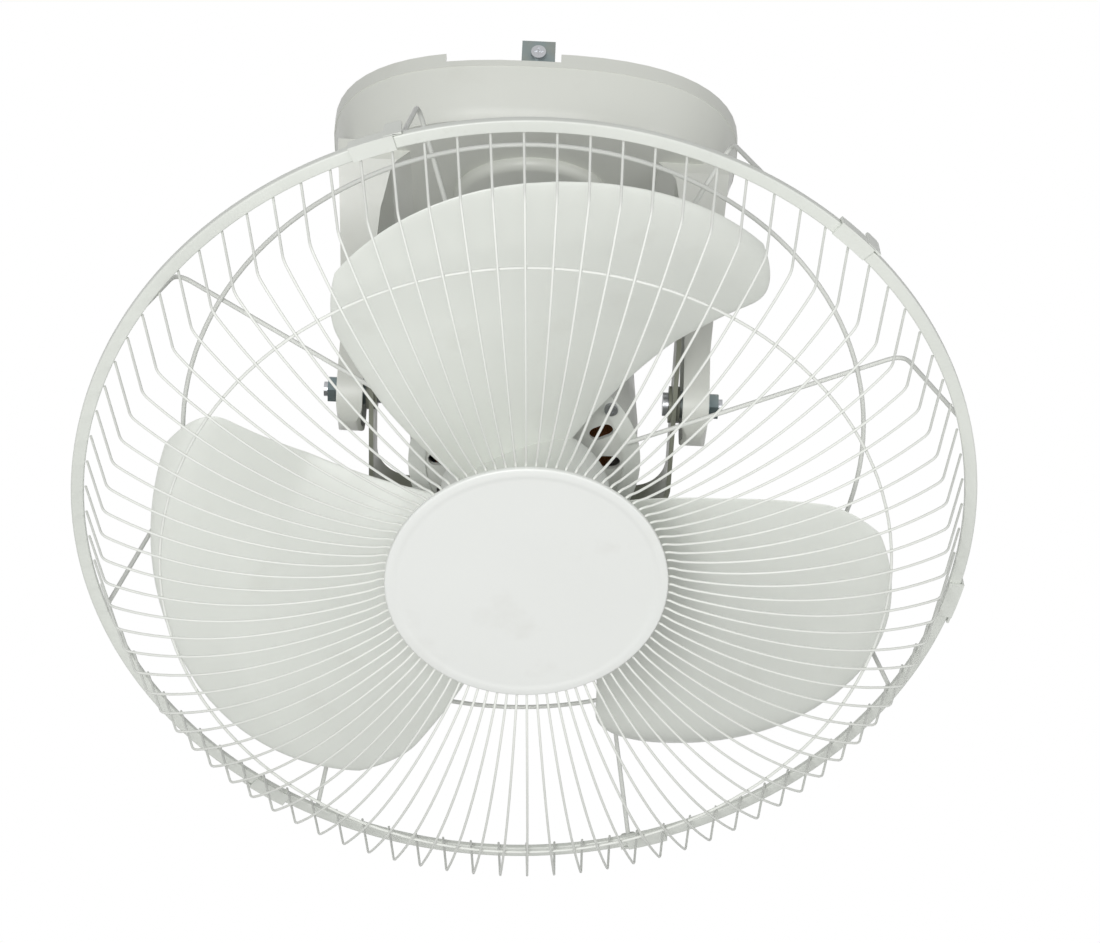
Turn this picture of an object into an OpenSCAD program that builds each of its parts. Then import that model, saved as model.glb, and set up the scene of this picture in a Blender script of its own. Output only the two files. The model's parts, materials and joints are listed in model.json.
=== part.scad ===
// Orbital ceiling fan, 400 mm sweep.
// Origin: centre of the ceiling face of the mounting plate. +Z is up and the fan hangs below.
// The head leans towards -Y and can orbit about the vertical through the gimbal centre.

/* [Pose] */
// Lean of the head towards the front at rest
head_tilt = 30; // [10:1:30]
// Small sideways lean of the head at rest
side_swing = 2.5; // [-5:0.5:5]
// Depth of the gimbal centre below the ceiling
pivot_drop = 170; // [165:1:190]

/* [Ceiling mount] */
// Diameter of the steel plate
plate_d = 130; // [116:1:140]
// Thickness of the steel plate
plate_t = 2; // [1.5:0.1:3]
// Circle that the four ceiling screws lie on
plate_pcd = 100; // [80:1:104]
// Diameter of the ceiling screw holes
plate_hole_d = 6; // [4:0.5:8]
// Width of the tongues and of their turned-down tabs
tab_w = 18; // [14:1:24]
// Thickness of the tabs
tab_t = 1.6; // [1:0.1:2]

/* [Canopy] */
// Width of the canopy, side to side
canopy_w = 228; // [222:1:240]
// Depth of the canopy, front to back
canopy_d = 186; // [170:1:210]
// Height of the canopy shell without its ears
canopy_h = 36; // [30:1:40]
// Gap between the ceiling and the canopy
canopy_gap = 9; // [6:1:12]
// Wall of the canopy
canopy_wall = 2.5; // [2:0.1:3.5]
// Height of the straight lip round the top
lip_h = 8.5; // [6:0.5:12]
// Draw-in of the shell from the lip to its lower edge
canopy_draft = 6; // [3:0.5:8]
// Depth of the notch in the lip
notch_h = 5; // [3:0.5:7]
// Width of the notch in the lip
notch_w = 62; // [40:1:80]
// Diameter of the round boss below the canopy
boss_d = 90; // [70:1:110]
// Height of the round boss
boss_h = 6; // [3:0.5:9]
// Rounding of the ear tips
ear_r = 22; // [19:0.5:25]
// Distance from the centre to the outside of an ear
ear_x = 100; // [99:0.5:104]
// Thickness of an ear, side to side
ear_t = 14; // [13:0.5:14]

/* [Yoke] */
// Width of the yoke strap
yoke_w = 24; // [20:1:28]
// Thickness of the yoke strap
yoke_t = 3; // [2.5:0.1:4]
// Distance from the centre to the inside of a yoke arm
yoke_x = 89; // [88.5:0.1:91]
// Diameter of the pivot bolts and pins
pin_d = 8; // [6:0.5:9]

/* [Gimbal] */
// Distance from the centre to the outside of a gimbal arm
frame_x = 83; // [82:0.1:83.5]
// Thickness of the gimbal strap
frame_t = 2.5; // [2:0.1:3]
// Width of the gimbal strap
frame_w = 28; // [22:1:28]
// Rounding of the gimbal's corners
frame_corner = 21; // [17:0.5:25]

/* [Orbit drive] */
// Distance from the gimbal centre to the fixed ball seat
orbit_d = 88; // [84:0.5:90]
// Diameter of the crank ball
ball_d = 12; // [10:0.5:14]
// Thickness of the crank arm
crank_t = 5; // [4:0.5:6]
// Diameter of the slow gear motor
gear_d = 60; // [50:1:70]
// Height of the slow gear motor
gear_h = 12; // [10:0.5:13]
// Diameter of its output shaft
out_shaft_d = 8; // [6:0.5:9]

/* [Motor] */
// Outer radius of the motor
motor_r = 61; // [58:0.5:61]
// Wall of the motor covers
motor_wall = 2.5; // [2:0.1:3.5]
// Depth of the motor behind the gimbal centre
motor_back = 44; // [40:1:44]
// Reach of the motor in front of the gimbal centre
motor_front = 60; // [57:0.5:62]
// Place of the seam between the covers
seam_z = 22; // [20:1:24]
// Diameter of the motor shaft
shaft_d = 10; // [8:0.5:12]
// Length of the stator core
core_l = 40; // [30:1:40]
// Outer diameter of the stator core
core_d = 112; // [100:1:112]
// Diameter of the rotor core
rotor_d = 62; // [50:1:66]
// Number of vent holes in the front cover
vent_n = 14; // [8:1:16]

/* [Propeller] */
// Tip radius of the blades
blade_r = 200; // [180:1:206]
// Number of blades
blade_n = 3; // [2:1:4]
// Width of a blade at its widest, in degrees
blade_span = 80; // [50:1:84]
// Depth of a blade along the shaft
blade_pitch = 44; // [30:1:46]
// Thickness of a blade
blade_t = 2.4; // [1.8:0.1:3]
// Place of the middle of the blades along the shaft
blade_z = 112; // [110:1:116]
// Outer radius of the blade hub
hub_r = 44; // [38:1:52]

/* [Rear guard] */
// Diameter of the rear spokes and ring
spoke_d = 2.4; // [2:0.1:3.5]
// Number of rear spokes
spoke_n = 8; // [6:1:8]
// Radius at which the spokes turn forward
spoke_bend_r = 205; // [195:1:210]
// Radius of the ring inside the bends
rear_ring_r = 180; // [140:1:190]
// Outer radius of the guard mounting ring
mount_r = 61; // [60:0.5:61.5]

/* [Front guard] */
// Outer radius of the rim band
rim_r = 230; // [226:1:240]
// Width of the rim band
rim_w = 6.4; // [6.2:0.1:8]
// Place of the front of the rim band along the axis
rim_z = 116; // [112:1:118]
// Depth of the band's outer flange
band_out_h = 4; // [3:0.5:7]
// Depth of the band's inner flange
band_in_h = 3; // [2.5:0.5:5]
// Sheet thickness of the band and clips
band_t = 1.2; // [1:0.1:1.5]
// Diameter of the front wires
wire_d = 1.3; // [1.1:0.1:1.8]
// Number of front wires
wire_n = 90; // [60:2:100]
// Radius of the guard shoulder
shoulder_r = 210; // [206:1:214]
// Reach of the shoulder in front of the rim
shoulder_z = 37; // [34:1:42]
// Radius of the ring behind the wires
mid_ring_r = 180.5; // [120:0.5:190]
// Diameter of the ring behind the wires
mid_ring_d = 1.5; // [1.2:0.1:2]
// Radius of the centre cap
cap_r = 70.3; // [60:0.1:80]
// Thickness of the centre cap
cap_t = 3; // [2:0.1:4]
// Reach of the cap in front of the rim
cap_z = 52.5; // [48:0.5:58]

/* [Hidden] */
$fn = 48;
fit = 0.3;       // gap between pieces of different bodies
slip = 0.05;     // radial gap of a turning fit
eps = 0.01;
white = [0.88, 0.89, 0.87];
grey = [0.72, 0.73, 0.71];
zinc = [0.66, 0.68, 0.70];
steel = [0.55, 0.56, 0.58];

canopy_top = -canopy_gap;
canopy_bottom = canopy_top - canopy_h;
boss_z = canopy_bottom - boss_h;
tab_y = canopy_d / 2;
tab_len = canopy_gap + notch_h - fit;
tab_screw_z = -canopy_gap + 1;
tab_screw_d = 4;
lug_t = 7;
ear_in = ear_x - ear_t;
ear_tip_r = 6;
yoke_hole_x = 38;
bolt_d = 6;
weld_gap = 0.2;  // gap that stands for a weld between wires
lip_step = 0.4;
lug_drop = 4;
boss_edge = 5;

pad_r = 10;
pad_out = frame_x + 2;
pad_in = frame_x - frame_t - 1.5;
swing_boss_r = 10;
swing_boss_t = 2;
swing_washer_t = 1.4;
web_in = motor_r + swing_boss_t + fit + swing_washer_t;
web_out = web_in + frame_t;
swing_pin_in = motor_r - 4;
bush_d = pin_d + 3;
bolt_head_t = 3;
bolt_head_r = 6.5;
nut_t = 6;
nut_d = 15;
spacer_d = 15;
swing_head_d = 13;
yoke_nut_d = 11.5;

// the fixed ball seat lies on the vertical through the gimbal centre
lean = acos(cos(head_tilt) * cos(side_swing));
crank_r = orbit_d * sin(lean);
ball_z = -orbit_d * cos(lean);
crank_a = atan2(sin(head_tilt), cos(head_tilt) * sin(side_swing));
crank_z = -motor_back - gear_h - 10;
crank_nut_t = 3;
gear_ear_t = 2;
seat_gap = 0.5;
seat_r = orbit_d + ball_d / 2 + seat_gap;
stem_d = 16;
seat_head_d = 13;
cup_d = 26;

taper_front = motor_r - 2;
taper_back = motor_r - 6;
taper_len = 14;
taper_start = seam_z + 8;
core_z = seam_z - core_l;
lug_r = motor_r + 4;
lug_d = 10;
lug_h = 6;
screw_d = 3;
bearing_d = 26;
bearing_t = 9;
vent_r = 44;
vent_w = 8;
vent_l = 5;

hub_h = 40;
hub_back = blade_z - hub_h / 2;
hub_front = blade_z + hub_h / 2;
insert_d = 22;
hub_wall = 3;

mount_t = 2;
mount_in = 52;
mount_screw_r = 56.5;
spoke_in = mount_r - 6;
spoke_in_z = motor_front + mount_t + spoke_d / 2 + 1.3;
spoke_bend_z = 39.5;
spoke_phase = 16.5;
rim_wire_d = 3;
rim_wire_r = rim_r - rim_w / 2;
rim_wire_z = rim_z - band_t - rim_wire_d / 2 - weld_gap;
spoke_out_z = rim_wire_z - rim_wire_d / 2 - 0.15 * spoke_d - weld_gap;

wire_start_r = rim_r - rim_w - wire_d / 2 - weld_gap;
cap_front = rim_z + cap_z;
cap_back = cap_front - cap_t;
wire_cap_z = cap_back - wire_d / 2 - 0.4;
wire_in = cap_r - 14;
wire_shoulder = [shoulder_r, rim_z + shoulder_z];
wire_kink = [cap_r + 7, wire_cap_z + 3];
wire_dip = [cap_r + 1.5, wire_cap_z];
wire_bow = 15;
backing_t = 2;
cap_post_r = 45;
backing_r = cap_r - 3;
clip_angles = [110, 48.5, -11, -71, -126];
clip_len = 22;
clip_tab_w = 8.7;
clip_tab_l = 6.5;

// ---- placing ----
// the gimbal's own frame: +Z is forward along the air stream, +Y is up in front view
module in_gimbal() {
    translate([0, 0, -pivot_drop])
        rotate([-head_tilt, 0, 0])
            rotate([180, 0, 0])
                children();
}

module in_head() {
    translate([0, 0, -pivot_drop])
        rotate([-head_tilt, 0, 0])
            rotate([0, -side_swing, 0])
                rotate([180, 0, 0])
                    children();
}

module pair_x() {
    children();
    mirror([1, 0, 0]) children();
}

module pair_y() {
    children();
    mirror([0, 1, 0]) children();
}

module around(n, phase = 0) {
    for (i = [0 : n - 1]) rotate(phase + i * 360 / n) children();
}

module at(z) {
    translate([0, 0, z]) children();
}

// ---- small shapes ----
module tube(d, bore, h) {
    difference() {
        cylinder(d = d, h = h);
        at(-1) cylinder(d = bore, h = h + 2);
    }
}

module hoop(r, d) {
    rotate_extrude($fn = 96) translate([r, 0]) circle(d = d, $fn = 24);
}

module screw(head_d, head_h, d, l) {
    at(-l) cylinder(d = d, h = l);
    difference() {
        cylinder(d = head_d, h = head_h);
        for (a = [0, 90]) rotate(a) translate([-head_d * 0.3, -0.5, head_h - 0.8])
            cube([head_d * 0.6, 1, 2]);
    }
}

function unit(v) = v / norm(v);
function turn(a, b, c) = let (u = unit(b - a), v = unit(c - b)) atan2(cross(u, v), u * v);
// a bead that joins two runs of round wire which meet at an angle
module bead(p, d, angle) {
    translate([p[0], 0, p[1]]) sphere(r = 1.04 * d / 2 / cos(angle / 2), $fn = 24);
}

// straight run of round wire between two points
module run(a, b, d) {
    u = b - a;
    translate([a[0], 0, a[1]]) rotate([0, atan2(u[0], u[1]), 0]) cylinder(d = d, h = norm(u), $fn = 24);
}

// round wire with one bend, that follows a flat path of three [radius, height] points
module bent_wire(a, b, c, d) {
    run(a, b, d);
    bead(b, d, turn(a, b, c));
    run(b, c, d);
}

// a wire bowed between two points: radius, outward direction and centre of its arc
function bow_radius(a, b, bow) = let (c = norm(b - a)) c * c / 8 / bow + bow / 2;
function bow_out(a, b) = let (u = unit(b - a)) [u[1], -u[0]];
function bow_centre(a, b, bow) = (a + b) / 2 + bow_out(a, b) * (bow - bow_radius(a, b, bow));

module bowed_wire(a, b, bow, d) {
    r = bow_radius(a, b, bow);
    n = bow_out(a, b);
    m = bow_centre(a, b, bow);
    half = asin(norm(b - a) / 2 / r);
    translate([m[0], 0, m[1]]) rotate([90, 0, 0]) rotate(atan2(n[1], n[0]) - half)
        rotate_extrude(angle = 2 * half, $fn = 144) translate([r, 0]) circle(d = d, $fn = 24);
}

// squared-off round plan of the canopy
function plan_points(a, b, n = 56) = [for (i = [0 : n - 1]) let (t = i * 360 / n)
    [a * sign(cos(t)) * pow(abs(cos(t)), 0.78), b * sign(sin(t)) * pow(abs(sin(t)), 0.78)]];

module plan(inset) {
    polygon(plan_points(canopy_w / 2 - inset, canopy_d / 2 - inset));
}

module slice(z, inset) {
    at(z) linear_extrude(eps) plan(inset);
}

// ---- ceiling mount ----
module ceiling_plate() {
    tongue = tab_y - 2;
    color(zinc) difference() {
        union() {
            at(-plate_t) cylinder(d = plate_d, h = plate_t);
            for (s = [-1, 1]) {
                translate([-tab_w / 2, s > 0 ? 0 : -tongue, -plate_t])
                    cube([tab_w, tongue, plate_t]);
                translate([-tab_w / 2, s > 0 ? tongue - tab_t : -tongue, -tab_len])
                    cube([tab_w, tab_t, tab_len]);
            }
        }
        around(4, 45) translate([plate_pcd / 2, 0, -plate_t - 1])
            cylinder(d = plate_hole_d, h = plate_t + 2);
        for (s = [-1, 1]) translate([s * yoke_hole_x, 0, -plate_t - 1])
            cylinder(d = bolt_d, h = plate_t + 2);
        at(-plate_t - 1) cylinder(d = seat_head_d + 2, h = plate_t + 2);
        translate([0, -tongue - 1, tab_screw_z]) rotate([-90, 0, 0])
            cylinder(d = tab_screw_d + 0.4, h = 2 * tongue + 2);
    }
}

module canopy_tab_screws() {
    color(steel) pair_y() translate([0, -tab_y + 2 - 0.02, tab_screw_z]) rotate([90, 0, 0])
        screw(8, 2.2, tab_screw_d, tab_t + lug_t - 1);
}

module ear_side(r, top_w, up) {
    translate([0, -pivot_drop]) circle(r, $fn = 64);
    polygon([[-r, -pivot_drop], [r, -pivot_drop], [r, -110], [r + 5, -85], [r + 12, -68],
        [top_w, canopy_bottom - 6], [top_w, up], [-top_w, up], [-top_w, canopy_bottom - 6],
        [-r - 12, -68], [-r - 5, -85], [-r, -110]]);
}

module ear_front(inset) {
    shell = canopy_w / 2 - canopy_draft - inset;
    inner = ear_in - (inset > 0 ? 1 : 0);
    outer = ear_x - inset;
    tip = -pivot_drop - ear_r + inset;
    r = ear_tip_r - inset;
    polygon([[inner, tip + r], [outer, tip + r], [outer, -pivot_drop + ear_r], [shell, canopy_bottom + 6],
        [ear_in - 14, canopy_bottom + 6], [ear_in - 18 + inset, canopy_bottom - eps],
        [ear_in - 8 + inset, canopy_bottom - 9], [ear_in - 3 + inset, canopy_bottom - 28],
        [ear_in + (inset > 0 ? -2 : 0), -110]]);
    translate([inner + (inset > 0 ? 0 : r), tip]) square([outer - inner - (inset > 0 ? r : 2 * r), r + eps]);
    translate([outer - r, tip + r]) circle(r, $fn = 48);
    if (inset == 0) translate([inner + r, tip + r]) circle(r, $fn = 48);
}

module ear_block(inset) {
    intersection() {
        rotate([90, 0, 90]) linear_extrude(canopy_w) ear_side(ear_r - inset, 46 - inset, canopy_bottom + 8);
        translate([0, canopy_d / 2, 0]) rotate([90, 0, 0]) linear_extrude(canopy_d) ear_front(inset);
        translate([inset > 0 ? 0 : ear_in - 20, -canopy_d / 2, -pivot_drop - ear_r - 2])
            cube([canopy_w, canopy_d, pivot_drop + ear_r]);
    }
}

module canopy() {
    low = canopy_draft;
    w = canopy_wall;
    color(grey) difference() {
        union() {
            at(canopy_top - lip_h) linear_extrude(lip_h) plan(0);
            hull() {
                slice(canopy_top - lip_h, lip_step);
                slice(canopy_bottom + 6, low);
                slice(canopy_bottom, low + 5);
            }
            at(boss_z) rotate_extrude($fn = 72) {
                square([boss_d / 2 - boss_edge, boss_h + 2]);
                translate([0, boss_edge]) square([boss_d / 2, boss_h + 2 - boss_edge]);
                translate([boss_d / 2 - boss_edge, boss_edge]) intersection() {
                    circle(boss_edge, $fn = 48);
                    translate([0, -boss_edge]) square(2 * boss_edge);
                }
            }
            pair_x() ear_block(0);
        }
        hull() {
            slice(canopy_top + 1, w + 1.2);
            slice(canopy_bottom + 7, low + w);
            slice(canopy_bottom + w, low + w + 4);
        }
        at(boss_z + w) cylinder(d = boss_d - 5 - 2 * w, h = boss_h + 1, $fn = 72);
        pair_x() ear_block(w);
        at(boss_z - 1) cylinder(d = stem_d + 1, h = w + 2);
        pair_x() translate([ear_x - w - 1, 0, -pivot_drop]) rotate([0, 90, 0])
            cylinder(d = pin_d + 0.4, h = w + 2);
        pair_y() translate([-notch_w * 0.8, -tab_y - 1, canopy_top - notch_h])
            cube([notch_w, 12, notch_h + 1]);
    }
    color(grey) pair_y() difference() {
        translate([-tab_w / 2, -tab_y + 2 + tab_t, canopy_top - lip_h - lug_drop])
            cube([tab_w, lug_t, lip_h + lug_drop + 5]);
        translate([0, -tab_y + 1, tab_screw_z]) rotate([-90, 0, 0]) cylinder(d = tab_screw_d, h = lug_t + 3);
    }
}

// ---- yoke and its fittings ----
module yoke() {
    arm = pivot_drop - plate_t;
    color(zinc) difference() {
        union() {
            translate([-yoke_x - yoke_t, -yoke_w / 2, -plate_t - yoke_t])
                cube([2 * (yoke_x + yoke_t), yoke_w, yoke_t]);
            pair_x() {
                translate([yoke_x, -yoke_w / 2, -pivot_drop]) cube([yoke_t, yoke_w, arm]);
                translate([yoke_x, 0, -pivot_drop]) rotate([0, 90, 0]) cylinder(d = yoke_w, h = yoke_t);
            }
        }
        pair_x() translate([yoke_x - 1, 0, -pivot_drop]) rotate([0, 90, 0])
            cylinder(d = pin_d + 2 * slip, h = yoke_t + 2);
        for (s = [-1, 1]) translate([s * yoke_hole_x, 0, -plate_t - yoke_t - 1])
            cylinder(d = bolt_d + 0.4, h = yoke_t + 2);
        at(-plate_t - yoke_t - 1) cylinder(d = 8.4, h = yoke_t + 2);
    }
}

module yoke_studs() {
    // clinched flush into the plate from above
    color(steel) for (s = [-1, 1]) translate([s * yoke_hole_x, 0, -plate_t - yoke_t - 8])
        cylinder(d = bolt_d, h = plate_t + yoke_t + 8);
}

module yoke_nuts() {
    color(zinc) for (s = [-1, 1]) translate([s * yoke_hole_x, 0, -plate_t - yoke_t - 5]) difference() {
        cylinder(d = yoke_nut_d, h = 5, $fn = 6);
        at(-1) cylinder(d = bolt_d, h = 7);
    }
}

module terminal_block() {
    color([0.9, 0.9, 0.88]) translate([-20, 26, -plate_t - 14]) difference() {
        cube([40, 14, 14]);
        for (i = [0 : 3]) translate([5 + i * 10, 7, -1]) cylinder(d = 5, h = 9);
    }
}

module capacitor() {
    color([0.85, 0.84, 0.8]) translate([-22, -44, -plate_t - 18]) cube([44, 24, 18]);
}

module ball_seat() {
    top = -plate_t - yoke_t;
    color(steel) difference() {
        union() {
            at(boss_z - 6) cylinder(d = stem_d, h = top - boss_z + 6);
            at(-pivot_drop + orbit_d - 4) cylinder(d = cup_d, h = boss_z - 6 + pivot_drop - orbit_d + 4);
        }
        at(-pivot_drop) sphere(r = seat_r, $fn = 128);
        at(top - 8) cylinder(d = 8, h = 9);
    }
}

module ball_seat_screw() {
    // clamps the ball seat up against the yoke; its head sits in the plate's centre hole
    top = -plate_t - yoke_t;
    color(steel) {
        at(top - 8) cylinder(d = 8, h = 8 + yoke_t);
        at(-plate_t) cylinder(d = seat_head_d, h = plate_t - 0.2);
    }
}

module pivot_bolts() {
    color(steel) pair_x() translate([pad_in - 0.2 - bolt_head_t, 0, -pivot_drop]) rotate([0, 90, 0]) {
        cylinder(r = bolt_head_r, h = bolt_head_t);
        cylinder(d = pin_d, h = ear_x + fit + nut_t + 2 - pad_in + 0.2 + bolt_head_t);
    }
}

module pivot_nuts() {
    color(zinc) pair_x() translate([ear_x, 0, -pivot_drop]) rotate([0, 90, 0]) difference() {
        union() {
            cylinder(d = nut_d, h = nut_t, $fn = 6);
            cylinder(d = nut_d + 2, h = 1.2);
        }
        at(-1) cylinder(d = pin_d, h = nut_t + 2);
    }
}

module pivot_spacers() {
    color(zinc) pair_x() translate([pad_out + fit, 0, -pivot_drop]) rotate([0, 90, 0])
        tube(spacer_d, pin_d, yoke_x - pad_out - fit);
}

// ---- gimbal ----
// rounded outline of the strap frame, drawn inset by its thickness for the inside
module frame_outline(inset) {
    x = frame_x - inset;
    y = web_out - inset;
    r = frame_corner - inset;
    translate([-x + r, -y]) square([2 * (x - r), 2 * y]);
    translate([-x, -y + r]) square([2 * x, 2 * (y - r)]);
    for (i = [-1, 1]) for (j = [-1, 1]) translate([i * (x - r), j * (y - r)]) circle(r, $fn = 64);
}

module gimbal_frame() {
    color([0.62, 0.63, 0.6]) in_gimbal() difference() {
        union() {
            difference() {
                at(-frame_w / 2) linear_extrude(frame_w) frame_outline(0);
                at(-frame_w) linear_extrude(2 * frame_w) frame_outline(frame_t);
            }
            pair_x() translate([pad_in, 0, 0]) rotate([0, 90, 0]) cylinder(r = pad_r, h = pad_out - pad_in);
        }
        pair_x() translate([pad_in - 1, 0, 0]) rotate([0, 90, 0]) cylinder(d = bush_d, h = 12);
        pair_y() rotate(90) translate([web_in - 1, 0, 0]) rotate([0, 90, 0]) cylinder(d = pin_d, h = frame_t + 2);
    }
}

module tilt_bushes() {
    color([0.75, 0.6, 0.35]) in_gimbal() pair_x() translate([pad_in, 0, 0]) rotate([0, 90, 0])
        tube(bush_d, pin_d + 2 * slip, pad_out - pad_in);
}

module swing_pins() {
    l = web_out - swing_pin_in;
    color(steel) in_gimbal() pair_y() rotate(90) translate([swing_pin_in, 0, 0]) rotate([0, 90, 0]) {
        cylinder(d = pin_d, h = l);
        at(l) cylinder(d = swing_head_d, h = 3, $fn = 6);
    }
}

module swing_washers() {
    color(zinc) in_gimbal() pair_y() rotate(90) translate([web_in - swing_washer_t, 0, 0])
        rotate([0, 90, 0]) tube(swing_head_d, pin_d, swing_washer_t);
}

module swing_bushes() {
    l = swing_boss_t + motor_r - swing_pin_in;
    color([0.75, 0.6, 0.35]) in_head() pair_y() rotate(90) translate([swing_pin_in - 0.5, 0, 0])
        rotate([0, 90, 0]) tube(bush_d, pin_d + 2 * slip, l + 0.5);
}

// ---- motor ----
module cover_lugs(z) {
    around(4, 45) {
        translate([lug_r, 0, z]) cylinder(d = lug_d, h = lug_h);
        translate([motor_r - 4, -lug_d / 2, z]) cube([lug_r - motor_r + 4, lug_d, lug_h]);
    }
}

module lug_holes() {
    around(4, 45) translate([lug_r, 0, seam_z - 10]) cylinder(d = screw_d, h = 20);
}

module motor_rear_cover() {
    color(white) in_head() difference() {
        union() {
            rotate_extrude($fn = 96) polygon([[0, -motor_back], [taper_back, -motor_back],
                [motor_r, -motor_back + taper_len], [motor_r, seam_z], [0, seam_z]]);
            pair_y() rotate(90) rotate([0, 90, 0]) cylinder(r = swing_boss_r, h = motor_r + swing_boss_t);
            cover_lugs(seam_z - lug_h);
        }
        rotate_extrude($fn = 96) polygon([[0, -motor_back + motor_wall],
            [taper_back - motor_wall, -motor_back + motor_wall],
            [core_d / 2 - 1, -motor_back + taper_len], [core_d / 2 - 1, core_z], [core_d / 2, core_z],
            [core_d / 2, seam_z + 1], [0, seam_z + 1]]);
        pair_y() rotate(90) translate([swing_pin_in - 2, 0, 0]) rotate([0, 90, 0])
            cylinder(d = bush_d, h = 10);
        gear_screw_places() at(-1) cylinder(d = screw_d, h = motor_wall + 1);
        lug_holes();
    }
    color(white) in_head() at(-motor_back + motor_wall) tube(bearing_d + 5, bearing_d, bearing_t);
}

module motor_front_cover() {
    color(white) in_head() difference() {
        union() {
            rotate_extrude($fn = 96) polygon([[0, seam_z], [motor_r, seam_z], [motor_r, taper_start],
                [taper_front, motor_front - 3], [taper_front - 3, motor_front], [0, motor_front]]);
            cover_lugs(seam_z);
        }
        rotate_extrude($fn = 96) polygon([[0, seam_z - 1], [motor_r - 5, seam_z - 1],
            [motor_r - 5, taper_start], [taper_front - 5, motor_front - motor_wall],
            [0, motor_front - motor_wall]]);
        at(seam_z) cylinder(d = shaft_d + 2, h = motor_front);
        around(vent_n) translate([vent_r, 0, motor_front - motor_wall - 1]) {
            for (s = [-1, 1]) translate([s * vent_l / 2, 0, 0]) cylinder(d = vent_w, h = motor_wall + 2);
            translate([-vent_l / 2, -vent_w / 2, 0]) cube([vent_l, vent_w, motor_wall + 2]);
        }
        around(4, spoke_phase + 22.5) translate([mount_screw_r, 0, motor_front - 10])
            cylinder(d = screw_d, h = 12);
        lug_holes();
    }
    color(white) in_head() {
        at(motor_front - motor_wall - bearing_t) tube(bearing_d + 5, bearing_d, bearing_t);
    }
}

module cover_screws() {
    color(steel) in_head() around(4, 45) translate([lug_r, 0, seam_z + lug_h])
        screw(6, 2.4, screw_d, 2 * lug_h);
}

module stator_core() {
    color([0.35, 0.36, 0.4]) in_head() at(core_z) tube(core_d, rotor_d + 1, core_l);
}

module stator_windings() {
    inner = rotor_d / 2 + 3;
    outer = core_d / 2 - 5;
    color([0.7, 0.4, 0.2]) in_head() for (z = [core_z - 12, seam_z]) at(z)
        tube(2 * outer, 2 * inner, 12);
}

module bearing(z) {
    at(z) tube(bearing_d, shaft_d + 2 * slip, bearing_t);
}

module front_bearing() {
    color(steel) in_head() bearing(motor_front - motor_wall - bearing_t);
}

module rear_bearing() {
    color(steel) in_head() bearing(-motor_back + motor_wall);
}

// ---- orbit drive ----
module gear_screw_places() {
    for (a = [0, 180]) rotate(a) translate([gear_d / 2 + 6, 0, -motor_back]) children();
}

module orbit_gear_motor() {
    color([0.8, 0.8, 0.78]) in_head() difference() {
        union() {
            at(-motor_back - gear_h) cylinder(d = gear_d, h = gear_h);
            for (a = [0, 180]) rotate(a) translate([gear_d / 2 - 3, -5, -motor_back - gear_ear_t])
                cube([14, 10, gear_ear_t]);
        }
        at(-motor_back - gear_h - 1) cylinder(d = out_shaft_d + 2 * slip, h = gear_h - 1);
        gear_screw_places() at(-gear_ear_t - 1) cylinder(d = screw_d + 0.4, h = gear_ear_t + 2);
    }
}

module gear_motor_screws() {
    color(steel) in_head() gear_screw_places() at(-gear_ear_t) rotate([180, 0, 0])
        screw(6, 2.2, screw_d, gear_ear_t + motor_wall);
}

module orbit_shaft() {
    color(steel) in_head() at(crank_z - crank_nut_t)
        cylinder(d = out_shaft_d, h = -motor_back - 3 - crank_z + crank_nut_t);
}

module orbit_crank() {
    color(zinc) in_head() rotate(crank_a) at(crank_z) difference() {
        union() {
            cylinder(d = 18, h = crank_t);
            translate([crank_r, 0, 0]) cylinder(d = 14, h = crank_t);
            translate([0, -6, 0]) cube([crank_r, 12, crank_t]);
        }
        at(-1) cylinder(d = out_shaft_d, h = crank_t + 2);
        translate([crank_r, 0, -1]) cylinder(d = 6, h = crank_t + 2);
    }
}

module crank_ball() {
    color(steel) in_head() rotate(crank_a) translate([crank_r, 0, 0]) {
        at(ball_z) sphere(d = ball_d);
        at(ball_z) cylinder(d = 6, h = crank_z + crank_t - ball_z);
    }
}

module crank_nut() {
    color(steel) in_head() at(crank_z - crank_nut_t) tube(14, out_shaft_d, crank_nut_t);
}

// ---- rotor and propeller ----
module motor_shaft() {
    color(steel) in_head() at(-motor_back + motor_wall) cylinder(d = shaft_d, h = motor_back - motor_wall + hub_front + 12);
}

module rotor_core() {
    color([0.4, 0.4, 0.43]) in_head() at(core_z) tube(rotor_d, shaft_d, core_l);
}

// a blade: rows from the hub to the tip, each from the leading to the trailing edge
blade_nr = 18;
blade_na = 14;
blade_root = hub_r - 3;
tip_a = blade_span / 10;
function corner(u, start) = max(0, u - start) / (1 - start);
function blade_lead(u) = -blade_span * (0.3125 + 0.194 * u - 0.119 * pow(corner(u, 0.8), 3));
function blade_trail(u) = blade_span * (0.7125 - 0.1775 * u - 0.06 * pow(corner(u, 0.85), 2));
function blade_tip(a) = blade_r - (a < tip_a ? 0.009 : 0.0225) * pow(a - tip_a, 2);
function blade_rise(u, v) = blade_pitch * (sin(102 * v) - 0.636 - 0.12 * (1 - u)) * min(1, 0.55 + 0.9 * u);
function blade_point(i, j, side) =
    let (u = i / blade_nr,
        v = j / blade_na,
        a = blade_lead(u) + (blade_trail(u) - blade_lead(u)) * v,
        r = blade_root + (blade_tip(a) - blade_root) * u,
        half = blade_t * (0.35 + 0.65 * sin(180 * v)) / 2)
    [r * cos(a), r * sin(a), blade_rise(u, v) + side * half];

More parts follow.
